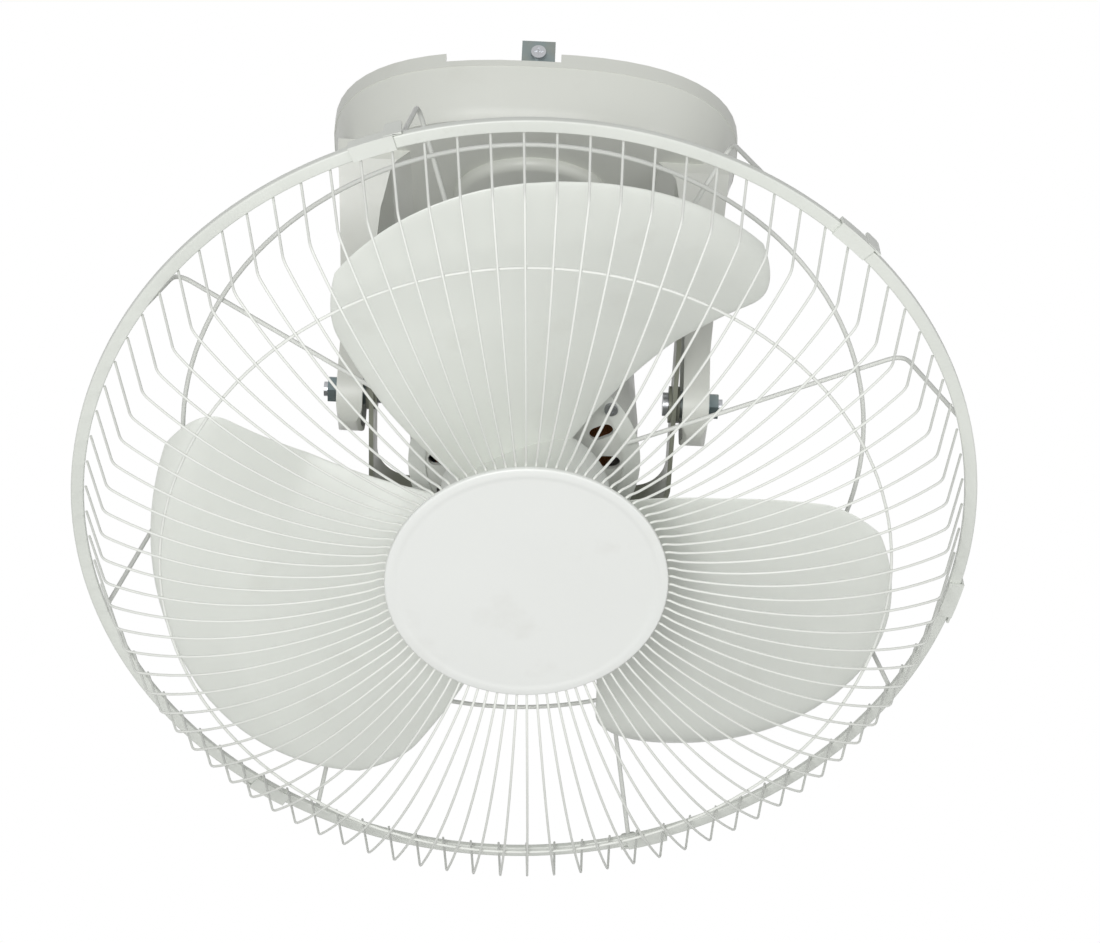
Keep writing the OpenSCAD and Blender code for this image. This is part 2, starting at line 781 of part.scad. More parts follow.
module blade() {
    nu = blade_nr + 1;
    nv = blade_na + 1;
    points = [for (s = [1, -1]) for (i = [0 : blade_nr]) for (j = [0 : blade_na]) blade_point(i, j, s)];
    function id(s, i, j) = s * nu * nv + i * nv + j;
    faces = concat(
        [for (i = [0 : blade_nr - 1]) for (j = [0 : blade_na - 1]) each [
            [id(0, i, j), id(0, i, j + 1), id(0, i + 1, j + 1)],
            [id(0, i, j), id(0, i + 1, j + 1), id(0, i + 1, j)],
            [id(1, i, j), id(1, i + 1, j + 1), id(1, i, j + 1)],
            [id(1, i, j), id(1, i + 1, j), id(1, i + 1, j + 1)]]],
        [for (i = [0 : blade_nr - 1]) each [
            [id(0, i, 0), id(0, i + 1, 0), id(1, i + 1, 0)],
            [id(0, i, 0), id(1, i + 1, 0), id(1, i, 0)],
            [id(0, i, blade_na), id(1, i + 1, blade_na), id(0, i + 1, blade_na)],
            [id(0, i, blade_na), id(1, i, blade_na), id(1, i + 1, blade_na)]]],
        [for (j = [0 : blade_na - 1]) each [
            [id(0, 0, j), id(1, 0, j + 1), id(0, 0, j + 1)],
            [id(0, 0, j), id(1, 0, j), id(1, 0, j + 1)],
            [id(0, blade_nr, j), id(0, blade_nr, j + 1), id(1, blade_nr, j + 1)],
            [id(0, blade_nr, j), id(1, blade_nr, j + 1), id(1, blade_nr, j)]]]);
    polyhedron(points, faces);
}

module propeller() {
    color(white) in_head() {
        difference() {
            union() {
                at(hub_back) cylinder(r = hub_r, h = hub_h, $fn = 96);
                around(blade_n, 84) at(blade_z) blade();
            }
            at(hub_back - 1) difference() {
                cylinder(r = hub_r - hub_wall, h = hub_h - hub_wall + 1, $fn = 96);
                cylinder(d = insert_d + 8, h = hub_h);
            }
            at(hub_back - 1) cylinder(d = insert_d, h = hub_h + 2);
        }
    }
}

module hub_insert() {
    color(steel) in_head() at(hub_back) tube(insert_d, shaft_d, hub_h);
}

module spinner_nut() {
    color(white) in_head() at(hub_front) difference() {
        union() {
            cylinder(r = 17, h = 9);
            at(9) cylinder(r = 13, h = 6);
        }
        at(-1) cylinder(d = shaft_d, h = 13);
    }
}

// ---- rear guard ----
module guard_mount_ring() {
    color(white) in_head() difference() {
        at(motor_front) tube(2 * mount_r, 2 * mount_in, mount_t);
        around(4, spoke_phase + 22.5) translate([mount_screw_r, 0, motor_front - 1])
            cylinder(d = screw_d + 0.4, h = mount_t + 2);
    }
}

module mount_screws() {
    color(steel) in_head() around(4, spoke_phase + 22.5) translate([mount_screw_r, 0, motor_front + mount_t])
        screw(7, 2.2, screw_d, mount_t + 5);
}

module rear_spokes() {
    color(white) in_head() around(spoke_n, spoke_phase)
        bent_wire([spoke_in, spoke_in_z], [spoke_bend_r, spoke_bend_z], [rim_wire_r, spoke_out_z], spoke_d);
}

module rear_ring() {
    z = spoke_in_z + (spoke_bend_z - spoke_in_z) * (rear_ring_r - spoke_in) / (spoke_bend_r - spoke_in);
    color(white) in_head() at(z + spoke_d + weld_gap) hoop(rear_ring_r, spoke_d);
}

module rear_rim_ring() {
    color(white) in_head() at(rim_wire_z) hoop(rim_wire_r, rim_wire_d);
}

// ---- front guard ----
module rim_band() {
    outer = rim_r;
    inner = rim_r - rim_w;
    color(white) in_head() difference() {
        rotate_extrude($fn = 144) polygon([[inner, rim_z - band_in_h], [inner, rim_z], [outer, rim_z],
            [outer, rim_z - band_out_h], [outer - band_t, rim_z - band_out_h], [outer - band_t, rim_z - band_t],
            [inner + band_t, rim_z - band_t], [inner + band_t, rim_z - band_in_h]]);
        rotate(180) translate([rim_wire_r, 0, rim_z - 2]) cylinder(d = 3, h = 4);
    }
}

module front_wire() {
    run([wire_start_r, rim_z - band_in_h], wire_shoulder, wire_d);
    bead(wire_shoulder, wire_d, 45);
    bowed_wire(wire_shoulder, wire_kink, wire_bow, wire_d);
    bead(wire_kink, wire_d, 40);
    run(wire_kink, wire_dip, wire_d);
    bead(wire_dip, wire_d, 30);
    run(wire_dip, [wire_in, wire_cap_z], wire_d);
}

// half of the front wires, spread evenly to both sides of the angle middle
module front_wires(middle) {
    half = wire_n / 2;
    color(white) in_head() for (k = [0 : half - 1])
        rotate(middle + (k - (half - 1) / 2) * 360 / wire_n) front_wire();
}

module mid_ring() {
    m = bow_centre(wire_shoulder, wire_kink, wire_bow);
    r = bow_radius(wire_shoulder, wire_kink, wire_bow) - wire_d / 2 - mid_ring_d / 2 - weld_gap;
    x = mid_ring_r - m[0];
    color(white) in_head() at(m[1] + sqrt(r * r - x * x)) hoop(mid_ring_r, mid_ring_d);
}

module centre_cap() {
    color(white) in_head() {
        difference() {
            union() {
                rotate_extrude($fn = 96) polygon([[0, cap_back], [cap_r - 1, cap_back], [cap_r, cap_back + 0.6],
                    [cap_r, cap_front - 0.8], [cap_r - 1.2, cap_front], [cap_r - 4, cap_front],
                    [cap_r - 5, cap_front - 0.5], [0, cap_front - 0.5]]);
                around(3, 90) translate([cap_post_r, 0, wire_cap_z - wire_d / 2 - 0.2])
                    cylinder(d = 7, h = cap_back - wire_cap_z + wire_d / 2 + 1);
            }
            around(3, 90) translate([cap_post_r, 0, wire_cap_z - wire_d]) cylinder(d = screw_d, h = 4);
        }
    }
}

module cap_backing() {
    z = wire_cap_z - wire_d / 2 - 0.2 - backing_t;
    color(white) in_head() difference() {
        at(z) cylinder(r = backing_r, h = backing_t, $fn = 96);
        around(3, 90) translate([cap_post_r, 0, z - 1]) cylinder(d = screw_d + 0.4, h = backing_t + 2);
    }
}

module cap_screws() {
    z = wire_cap_z - wire_d / 2 - 0.2 - backing_t;
    color(steel) in_head() around(3, 90) translate([cap_post_r, 0, z]) rotate([180, 0, 0])
        screw(6, 1.8, screw_d, backing_t + 2.4);
}

module guard_clips() {
    a = clip_len / rim_r * 180 / PI;
    out = rim_r + 0.3 + band_t;
    top = rim_z + weld_gap;
    low = rim_z - band_out_h - weld_gap - band_t;
    tab = low - clip_tab_l;
    color(white) in_head() for (c = clip_angles) rotate(c) {
        rotate(-a / 2) rotate_extrude(angle = a, $fn = 144) polygon([
            [rim_r - rim_w, top], [rim_r - rim_w, top + band_t], [out, top + band_t], [out, low],
            [rim_r - 1, low], [rim_r - 1, low + band_t], [out - band_t, low + band_t], [out - band_t, top]]);
        rotate(-a / 2) translate([out - band_t + 0.2, 0, 0]) rotate([90, 0, 90]) linear_extrude(band_t) {
            translate([-clip_tab_w / 2, tab + 2]) square([clip_tab_w, top - tab - 2]);
            translate([-clip_tab_w / 2 + 2, tab]) square([clip_tab_w - 4, 3]);
            pair_x() translate([clip_tab_w / 2 - 2, tab + 2]) circle(2, $fn = 24);
        }
    }
}

ceiling_plate();
canopy_tab_screws();
canopy();
yoke();
yoke_studs();
yoke_nuts();
terminal_block();
capacitor();
ball_seat();
ball_seat_screw();
pivot_bolts();
pivot_nuts();
pivot_spacers();
gimbal_frame();
tilt_bushes();
swing_pins();
swing_washers();
swing_bushes();
motor_rear_cover();
motor_front_cover();
cover_screws();
stator_core();
stator_windings();
front_bearing();
rear_bearing();
orbit_gear_motor();
gear_motor_screws();
orbit_shaft();
orbit_crank();
crank_ball();
crank_nut();
motor_shaft();
rotor_core();
propeller();
hub_insert();
spinner_nut();
guard_mount_ring();
mount_screws();
rear_spokes();
rear_ring();
rear_rim_ring();
rim_band();
front_wires(0);  // front_wires_right
front_wires(180);  // front_wires_left
mid_ring();
centre_cap();
cap_backing();
cap_screws();
guard_clips();
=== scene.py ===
"""Orbital ceiling fan: finishes, finer pieces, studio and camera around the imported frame."""
import json
import math
import bmesh
import bpy
from mathutils import Matrix, Vector


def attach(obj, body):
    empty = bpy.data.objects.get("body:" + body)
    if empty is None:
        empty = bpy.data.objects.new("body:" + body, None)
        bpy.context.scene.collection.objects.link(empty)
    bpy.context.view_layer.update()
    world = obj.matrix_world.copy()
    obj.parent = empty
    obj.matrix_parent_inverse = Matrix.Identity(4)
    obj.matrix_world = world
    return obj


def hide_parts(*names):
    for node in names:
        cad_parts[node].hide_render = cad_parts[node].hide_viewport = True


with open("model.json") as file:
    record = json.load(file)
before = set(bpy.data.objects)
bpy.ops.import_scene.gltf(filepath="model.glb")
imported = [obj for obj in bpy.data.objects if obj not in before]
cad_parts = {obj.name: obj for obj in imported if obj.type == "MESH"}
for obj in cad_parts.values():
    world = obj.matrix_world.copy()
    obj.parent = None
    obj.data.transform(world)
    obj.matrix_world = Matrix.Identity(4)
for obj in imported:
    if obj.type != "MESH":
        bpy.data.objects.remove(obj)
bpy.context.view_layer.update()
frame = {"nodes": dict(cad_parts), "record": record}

MM = 0.001

# ---- sizes of the solids that the finer pieces stand for: millimetres and degrees ----
# how the head hangs at rest: its pivot below the ceiling, its lean forward, its swing to the side
PIVOT_DROP = 170
LEAN = 30
SWING = 2.5

# all that follows is in the head's own frame, whose Z is the motor's shaft and points to the front
BLADE_PLACES = (84, 204, 324)
BLADE_ROOT = 41
BLADE_R = 200
BLADE_SPAN = 80
BLADE_PITCH = 44
BLADE_T = 2.4
BLADE_Z = 112
# shares of BLADE_SPAN: at the root, change along the blade, pulled in at the tip's corner
LEAD_ROOT, LEAD_GAIN, LEAD_PULL = 0.3125, 0.194, 0.119
TRAIL_ROOT, TRAIL_LOSS, TRAIL_PULL = 0.7125, 0.1775, 0.06
# where the tip's corners start, as a share of the blade's length
LEAD_CORNER = 0.8
TRAIL_CORNER = 0.85
# how fast the tip falls off on each side of its farthest point, millimetres per square degree
TIP_FALL_LEAD = 0.009
TIP_FALL_TRAIL = 0.0225
# camber: part of a sine, its middle height, the root's drop, the pitch at the root, its growth
CAMBER_ANGLE = 102
CAMBER_MIDDLE = 0.636
ROOT_DROP = 0.12
ROOT_PITCH = 0.55
PITCH_GROWTH = 0.9
# how squarely the blade's thickness ends at its long edges and at its tip
EDGE_SQUARE = 40
TIP_SQUARE = 60
BLADE_ROWS = 56
BLADE_COLUMNS = 48

HUB_BORE_R = 11
HUB_SLEEVE_R = 15
HUB_R = 44
HUB_WALL = 3
HUB_BACK = 92
HUB_FRONT = 132

RIM_R = 230
RIM_W = 6.4
RIM_Z = 116
BAND_T = 1.2
BAND_OUT_H = 4
BAND_IN_H = 3

CAP_R = 70.3
CAP_BACK = 165.5
CAP_FRONT = 168.5
CAP_CORNER = 0.2
CAP_RAISED_W = 4
CAP_SLOPE_W = 6
CAP_SLOPE_H = 0.35
CAP_DISH = 0.5
POST_N = 3
POST_R = 3.5
POST_FROM_AXIS = 45
POST_PHASE = 90
POST_SUNK = 1

WIRE_CAP_Z = 164.45
WIRE_GAP = 0.2
WIRE_D = 1.3
WIRE_N = 90
WIRE_BOW = 15
WIRE_START = (222.75, RIM_Z - BAND_IN_H)
WIRE_SHOULDER = (210, 153)
WIRE_KINK = (77.3, 167.45)
WIRE_DIP = (71.8, WIRE_CAP_Z)
WIRE_IN = (56.3, WIRE_CAP_Z)

SPOKE_D = 2.4
SPOKE_N = 8
SPOKE_PHASE = 16.5
SPOKE_BEND = 9
SPOKE_PATH = ((55, 64.5), (205, 39.5), (226.8, 111.04))

# CAD nodes that keep their shape and only get rounded edges, with the rounding
EASED_NODES = {
    "canopy": 1.2,
    "gimbal_frame": 0.5,
    "motor_front_cover": 1.2,
    "motor_rear_cover": 1.2,
    "guard_clips": 0.3,
    "orbit_gear_motor": 0.8,
}
EASED_ANGLE = 32
# corners closer than this are joined, in metres
WELD_FORM = 1e-6
WELD_NODE = 2e-6

# the camera that was fitted to the photo's rim, middle ring and cap, in metres
PHOTO_WIDTH = 1100
PHOTO_FOCAL = 2733
SENSOR_WIDTH = 36
CAMERA_PLACE = (0.0164, -1.3309, -0.8348)
CAMERA_FORWARD = (0, 0.9061, 0.4230)
CAMERA_UP = (-0.0454, -0.4225, 0.9052)

HEAD = (Matrix.Translation((0, 0, -PIVOT_DROP * MM))
        @ Matrix.Rotation(math.radians(-LEAN), 4, "X")
        @ Matrix.Rotation(math.radians(-SWING), 4, "Y")
        @ Matrix.Rotation(math.pi, 4, "X"))
SLOTS = {row["node"]: row["material_slot"] for row in frame["record"]["subparts"]}
BODIES = {node: body for body, nodes in frame["record"]["behaviour"]["bodies"].items()
          for node in nodes}


# ---- shader maths ----
class Value:
    """One output socket of a node tree. It adds Math nodes when it is used in an expression."""

    def __init__(self, nodes, socket):
        self.nodes = nodes
        self.socket = socket

    def math(self, operation, first, second):
        return self.nodes.node("ShaderNodeMath", {"operation": operation}, {0: first, 1: second})

    def __add__(self, other):
        return self.math("ADD", self, other)

    def __rsub__(self, other):
        return self.math("SUBTRACT", other, self)

    def __mul__(self, other):
        return self.math("MULTIPLY", self, other)

    def __or__(self, other):
        return self.math("MAXIMUM", self, other)


class Nodes:
    """A node tree. One method makes every node that has an output."""

    def __init__(self, tree):
        self.tree = tree
        tree.nodes.clear()

    def node(self, kind, settings, sockets, out=0):
        node = self.tree.nodes.new(kind)
        for key, value in settings.items():
            setattr(node, key, value)
        for key, value in sockets.items():
            if isinstance(value, Value):
                self.tree.links.new(value.socket, node.inputs[key])
            else:
                node.inputs[key].default_value = value
        return Value(self, node.outputs[out])

    def close(self, kind, shader):
        end = self.tree.nodes.new(kind)
        self.tree.links.new(shader.socket, end.inputs["Surface"])


class Finish(Nodes):
    """A procedural surface in object coordinates. Scales are per metre, lengths in metres."""

    def __init__(self, name):
        self.material = bpy.data.materials.new(name)
        self.material.use_nodes = True
        super().__init__(self.material.node_tree)
        self.place = self.node("ShaderNodeTexCoord", {}, {}, "Object")

    def noise(self, scale, detail, place=None):
        return self.node("ShaderNodeTexNoise", {},
                         {"Vector": place or self.place, "Scale": scale, "Detail": detail}, "Fac")

    def cells(self, scale):
        return self.node("ShaderNodeTexVoronoi", {}, {"Vector": self.place, "Scale": scale},
                         "Distance")

    def waves(self, shape, scale, distortion):
        """Even lines along or around Z; shape is BANDS or RINGS."""
        across = {"BANDS": "bands_direction", "RINGS": "rings_direction"}[shape]
        return self.node("ShaderNodeTexWave", {"wave_type": shape, across: "Z"},
                         {"Vector": self.place, "Scale": scale, "Distortion": distortion,
                          "Detail": 2.0}, "Fac")

    def stretched(self, x, y, z):
        return self.node("ShaderNodeMapping", {}, {"Vector": self.place, "Scale": (x, y, z)})

    def ramp(self, value, stops):
        out = self.node("ShaderNodeValToRGB", {}, {"Fac": value}, "Color")
        elements = out.socket.node.color_ramp.elements
        while len(elements) > 1:
            elements.remove(elements[-1])
        for i, (position, tone) in enumerate(stops):
            stop = elements[0] if i == 0 else elements.new(position)
            stop.position = position
            stop.color = (*tone, 1)
        return out

    def span(self, value, low, high, to_low=0.0, to_high=1.0):
        return self.node("ShaderNodeMapRange", {},
                         {"Value": value, "From Min": low, "From Max": high,
                          "To Min": to_low, "To Max": to_high})

    def mix(self, amount, first, second):
        return self.node("ShaderNodeMix", {"data_type": "RGBA"},
                         {0: amount, 6: first, 7: second}, 2)

    def edges(self, radius):
        """1 on a corner that stands out, 0 on a flat face."""
        soft = self.node("ShaderNodeBevel", {"samples": 4}, {"Radius": radius}, "Normal")
        plain = self.node("ShaderNodeNewGeometry", {}, {}, "Normal")
        along = self.node("ShaderNodeVectorMath", {"operation": "DOT_PRODUCT"},
                          {0: soft, 1: plain}, "Value")
        return self.span(1 - along, 0.02, 0.25)

    def bump(self, height, strength, distance):
        return self.node("ShaderNodeBump", {},
                         {"Strength": strength, "Distance": distance, "Height": height}, "Normal")

    def surface(self, constants, varying):
        """Ends the finish: numbers that are the same all over, then what changes over it."""
        shader = self.node("ShaderNodeBsdfPrincipled", {}, {**constants, **varying}, "BSDF")
        self.close("ShaderNodeOutputMaterial", shader)
        return self.material


def colour(r, g, b):
    """Linear colour of an sRGB triple from 0 to 255."""
    linear = [c / 255 / 12.92 if c <= 10 else ((c / 255 + 0.055) / 1.055) ** 2.4
              for c in (r, g, b)]
    return (*linear, 1.0)


def shifted(tone, step):
    """The linear colour of an sRGB tone made lighter or darker by step."""
    return colour(*(min(255, c + step) for c in tone))


# ---- finishes ----
COAT_DUST = (176, 172, 160)
COAT_WORN = (150, 152, 148)
PLASTIC_DUST = (186, 182, 170)


def powder_coat(name, tone, dust=0.5, shine=0.5, corner=0.0006):
    """Off-white powder coat: fine orange peel, thin spots along corners and a little dust."""
    f = Finish(name)
    worn = f.edges(corner) * f.span(f.noise(60, 4), 0.45, 0.65)
    shade = f.mix(f.span(f.noise(14, 4), 0.35, 0.65), colour(*tone), shifted(tone, -7))
    dusty = f.span(f.noise(220, 3), 0.62, 0.8) * 0.25 * dust
    shade = f.mix(dusty, shade, colour(*COAT_DUST))
    shade = f.mix(worn * 0.35, shade, colour(*COAT_WORN))
    return f.surface({"Specular IOR Level": shine}, {
        "Base Color": shade,
        "Roughness": f.span(f.noise(90, 3), 0.3, 0.7, 0.3, 0.44) + worn * 0.15,
        "Normal": f.bump(f.noise(1500, 2), 0.12, 0.0003)})


def moulded(name, tone, gloss):
    """Moulded plastic: faint flow marks, satin grain and slightly rubbed corners."""
    f = Finish(name)
    shade = f.mix(f.span(f.noise(6, 3), 0.3, 0.7), colour(*tone), shifted(tone, -5))
    shade = f.mix(f.edges(0.0008) * 0.3, shade, shifted(tone, 8))
    shade = f.mix(f.span(f.noise(35, 5), 0.6, 0.85) * 0.18, shade, colour(*PLASTIC_DUST))
    rough = f.span(f.noise(40, 3), 0.3, 0.7, gloss, gloss + 0.1)
    return f.surface({}, {
        "Base Color": shade,
        "Roughness": rough + f.span(f.noise(320, 2), 0.55, 0.8, 0, 0.08),
        "Normal": f.bump(f.noise(900, 2), 0.08, 0.0002)})


def zinc_plated(name):
    """Dulled zinc: crystals a few millimetres across, a blue to straw tint, rubbed corners."""
    f = Finish(name)
    patch = f.noise(45, 4)
    tint = f.ramp(patch, [(0.3, (0.19, 0.24, 0.25)), (0.5, (0.24, 0.28, 0.28)),
                          (0.68, (0.28, 0.29, 0.26))])
    crystal = f.span(f.cells(260), 0.0, 0.7, 0.4, 0.54)
    return f.surface({}, {
        "Base Color": f.mix(f.edges(0.0003) * 0.4, tint, (0.4, 0.43, 0.44, 1)),
        "Metallic": f.span(f.noise(70, 2), 0.2, 0.8, 0.85, 1.0),
        "Roughness": crystal + f.span(patch, 0.5, 0.7, 0, 0.12),
        "Normal": f.bump(f.noise(420, 3), 0.1, 0.0002)})


def turned_steel(name, tone, rough=0.28):
    """Bright metal with fine turning marks and faint oil."""
    f = Finish(name)
    marks = f.noise(700, 3, f.stretched(1, 1, 6))
    oil = f.noise(38, 4)
    oiled = (*(c * 0.8 for c in tone), 1)
    rubbed = (*(min(1, c * 1.25) for c in tone), 1)
    base = f.mix(f.span(oil, 0.4, 0.7), (*tone, 1), oiled)
    return f.surface({}, {
        "Base Color": f.mix(f.edges(0.0004) * 0.4, base, rubbed),
        "Metallic": f.span(oil, 0.2, 0.8, 0.9, 1.0),
        "Roughness": f.span(marks, 0.3, 0.7, rough, rough + 0.14),
        "Normal": f.bump(marks, 0.1, 0.0001)})


def stator_sheets(name):
    """Stacked steel sheets, seen at their edges."""
    f = Finish(name)
    sheets = f.waves("BANDS", 320.0, 0.6)
    base = f.mix(f.span(f.noise(50, 4), 0.35, 0.7), (0.12, 0.13, 0.15, 1), (0.22, 0.22, 0.24, 1))
    return f.surface({}, {
        "Base Color": f.mix(sheets * 0.4, base, (0.3, 0.3, 0.32, 1)),
        "Metallic": f.span(f.noise(80, 2), 0.3, 0.7, 0.6, 0.85),
        "Roughness": f.span(sheets, 0, 1, 0.42, 0.6),
        "Normal": f.bump(sheets, 0.3, 0.0002)})


def copper_winding(name):
    """Varnished copper wire, laid round and round."""
    f = Finish(name)
    turns = f.waves("RINGS", 260.0, 1.2)
    base = f.mix(f.span(f.noise(30, 3), 0.3, 0.7), (0.42, 0.16, 0.06, 1), (0.58, 0.25, 0.1, 1))
    return f.surface({}, {
        "Base Color": f.mix(turns * 0.5, base, (0.24, 0.08, 0.03, 1)),
        "Metallic": f.span(turns, 0, 1, 0.9, 0.6),
        "Roughness": f.span(turns, 0, 1, 0.3, 0.5),
        "Normal": f.bump(turns, 0.5, 0.0006)})


finishes = {
    "zinc_plate": zinc_plated("zinc_plate_look"),
    "steel_fastener": turned_steel("steel_fastener_look", (0.5, 0.51, 0.53)),
    "canopy_plastic": moulded("canopy_look", (222, 224, 217), 0.34),
    "terminal_plastic": moulded("terminal_look", (226, 225, 214), 0.42),
    "gimbal_paint": powder_coat("gimbal_look", (150, 152, 139), shine=0.25),
    "bronze_bush": turned_steel("bronze_look", (0.55, 0.38, 0.2), 0.4),
    "motor_paint": powder_coat("motor_look", (226, 228, 222)),
    "gear_case": powder_coat("gear_case_look", (210, 211, 206)),
    "stator_steel": stator_sheets("stator_look"),
    "copper": copper_winding("winding_look"),
    "blade_plastic": moulded("blade_look", (232, 235, 229), 0.3),
    "insert_metal": turned_steel("insert_look", (0.55, 0.56, 0.57), 0.32),
    # a corner radius as wide as the wire would wear it all over, so this one is small
    "guard_wire": powder_coat("guard_wire_look", (235, 237, 232), 0.2, 0.15, 0.0001),
    "guard_sheet": powder_coat("guard_sheet_look", (226, 229, 223)),
    "cap_plastic": moulded("cap_look", (238, 240, 237), 0.32),
}
for node, slot in SLOTS.items():
    materials = frame["nodes"][node].data.materials
    materials.clear()
    materials.append(finishes[slot])


# ---- tools for the finer pieces ----
def reshape(mesh, weld, step):
    """Joins the mesh's corners that are closer than weld, then runs one more bmesh step on it."""
    work = bmesh.new()
    work.from_mesh(mesh)
    bmesh.ops.remove_doubles(work, verts=work.verts, dist=weld)
    step(work)
    work.to_mesh(mesh)
    work.free()


def stand_in(name, mesh, node, sharp):
    """An object that stands for a CAD node: it has the node's body and finish."""
    mesh.shade_smooth()
    mesh.set_sharp_from_angle(angle=math.radians(sharp))
    obj = bpy.data.objects.new(name, mesh)
    bpy.context.scene.collection.objects.link(obj)
    mesh.materials.clear()
    mesh.materials.append(finishes[SLOTS[node]])
    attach(obj, BODIES[node])
    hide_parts(node)
    return obj


class Form:
    """Vertices and faces of one piece, in millimetres."""

    def __init__(self):
        self.points = []
        self.faces = []

    def add(self, part, turn=0.0):
        """Adds points and faces, turned about the head's axis by degrees."""
        points, faces = part
        start = len(self.points)
        c, s = math.cos(math.radians(turn)), math.sin(math.radians(turn))
        self.points += [(x * c - y * s, x * s + y * c, z) for x, y, z in points]
        self.faces += [[i + start for i in face] for face in faces]
        return self

    def piece(self, name, node, sharp=40):
        """Places the form in the head and lets it stand for its CAD node."""
        mesh = bpy.data.meshes.new(name)
        mesh.from_pydata([HEAD @ (Vector(p) * MM) for p in self.points], [], self.faces)
        reshape(mesh, WELD_FORM,
                lambda work: bmesh.ops.recalc_face_normals(work, faces=work.faces))
        stand_in(name, mesh, node, sharp)


def rounded(path, easing, steps=6):
    """Softens the bends of a (radius, height) path; easing holds each bend's reach by index."""
    out = []
    for i, p in enumerate(path):
        reach = easing.get(i)
        if not reach:
            out.append(p)
            continue
        p = Vector(p)
        before = p + (Vector(path[i - 1]) - p).normalized() * reach
        after = p + (Vector(path[(i + 1) % len(path)]) - p).normalized() * reach
        for k in range(steps + 1):
            t = k / steps
            out.append(tuple(before * (1 - t) ** 2 + p * 2 * t * (1 - t) + after * t ** 2))
    return out


def bowed(a, b, bow, steps):
    """Points of an arc from a to b that stands out by bow, without its ends."""
    a, b = Vector(a), Vector(b)
    chord = (b - a).length
    radius = chord ** 2 / 8 / bow + bow / 2
    along = (b - a).normalized()
    out = Vector((along.y, -along.x))
    centre = (a + b) / 2 + out * (bow - radius)
    half = math.asin(chord / 2 / radius)
    places = []
    for k in range(1, steps):
        t = -half + 2 * half * k / steps
        places.append(tuple(centre + out * radius * math.cos(t) + along * radius * math.sin(t)))
    return places


def wire(path, diameter, sides):
    """Round wire along a path in a radial plane, closed at both ends."""
    r = diameter / 2
    points, faces = [], []
    for i, (x, z) in enumerate(path):
        ax, az = path[max(i - 1, 0)]
        bx, bz = path[min(i + 1, len(path) - 1)]
        length = math.hypot(bx - ax, bz - az)
        nx, nz = -(bz - az) / length, (bx - ax) / length
        for k in range(sides):
            t = math.tau * k / sides
            points.append((x + nx * r * math.cos(t), r * math.sin(t), z + nz * r * math.cos(t)))
    for i in range(len(path) - 1):
        this, following = i * sides, (i + 1) * sides
        for k in range(sides):
            n = (k + 1) % sides
            faces.append([this + k, this + n, following + n, following + k])
    faces.append(list(range(sides)))
    faces.append([len(points) - 1 - k for k in range(sides)])
    return points, faces


def turned(profile, steps):
    """A closed profile of (radius, height) points turned all the way about the axis."""
    m = len(profile)
    points, faces = [], []
    for k in range(steps):
        a = math.radians(360 * k / steps)
        points += [(r * math.cos(a), r * math.sin(a), z) for r, z in profile]
    for k in range(steps):
        n = (k + 1) % steps
        for i in range(m):
            j = (i + 1) % m
            faces.append([k * m + i, k * m + j, n * m + j, n * m + i])
    return points, faces


# ---- finer pieces ----
def front_wires():
    bow = bowed(WIRE_SHOULDER, WIRE_KINK, WIRE_BOW, steps=18)
    path = [WIRE_START, WIRE_SHOULDER, *bow, WIRE_KINK, WIRE_DIP, WIRE_IN]
    shoulder, kink, dip = 1, len(path) - 3, len(path) - 2
    one = wire(rounded(path, {shoulder: 3.5, kink: 2.4, dip: 2.0}), WIRE_D, sides=10)
    half = WIRE_N // 2
    for side, middle in (("right", 0), ("left", 180)):
        form = Form()
        for k in range(half):
            form.add(one, middle + (k - (half - 1) / 2) * 360 / WIRE_N)
        form.piece(f"front_wires_{side}_swept", f"front_wires_{side}")


def rear_spokes():
    one = wire(rounded(SPOKE_PATH, {1: SPOKE_BEND}), SPOKE_D, sides=14)
    form = Form()
    for k in range(SPOKE_N):
        form.add(one, SPOKE_PHASE + k * 360 / SPOKE_N)
    form.piece("rear_spokes_swept", "rear_spokes")


def rim_band():
    inner, outer = RIM_R - RIM_W, RIM_R
    inner_lip, outer_lip = RIM_Z - BAND_IN_H, RIM_Z - BAND_OUT_H
    under = RIM_Z - BAND_T
    profile = [(inner, inner_lip), (inner, RIM_Z), (outer, RIM_Z), (outer, outer_lip),
               (outer - BAND_T, outer_lip), (outer - BAND_T, under),
               (inner + BAND_T, under), (inner + BAND_T, inner_lip)]
    rolled = rounded(profile, {0: 0.3, 1: 0.9, 2: 1.0, 3: 0.3, 4: 0.3, 7: 0.3})
    Form().add(turned(rolled, steps=240)).piece("rim_band_rolled", "rim_band")


def centre_cap():
    edge = [(0, CAP_BACK), (CAP_R - CAP_CORNER, CAP_BACK), (CAP_R, CAP_FRONT - CAP_CORNER),
            (CAP_R - CAP_RAISED_W, CAP_FRONT), (CAP_R - CAP_SLOPE_W, CAP_FRONT - CAP_SLOPE_H),
            (0, CAP_FRONT - CAP_DISH)]
    form = Form().add(turned(rounded(edge, {1: 0.4, 2: 1.2, 3: 1.2, 4: 1.2}), steps=180))
    top, foot = CAP_BACK + POST_SUNK, WIRE_CAP_Z - WIRE_D / 2 - WIRE_GAP
    points, faces = turned([(0, top), (POST_R, top), (POST_R, foot), (0, foot)], steps=24)
    post = [(x + POST_FROM_AXIS, y, z) for x, y, z in points], faces
    for k in range(POST_N):
        form.add(post, POST_PHASE + k * 360 / POST_N)
    form.piece("centre_cap_moulded", "centre_cap")


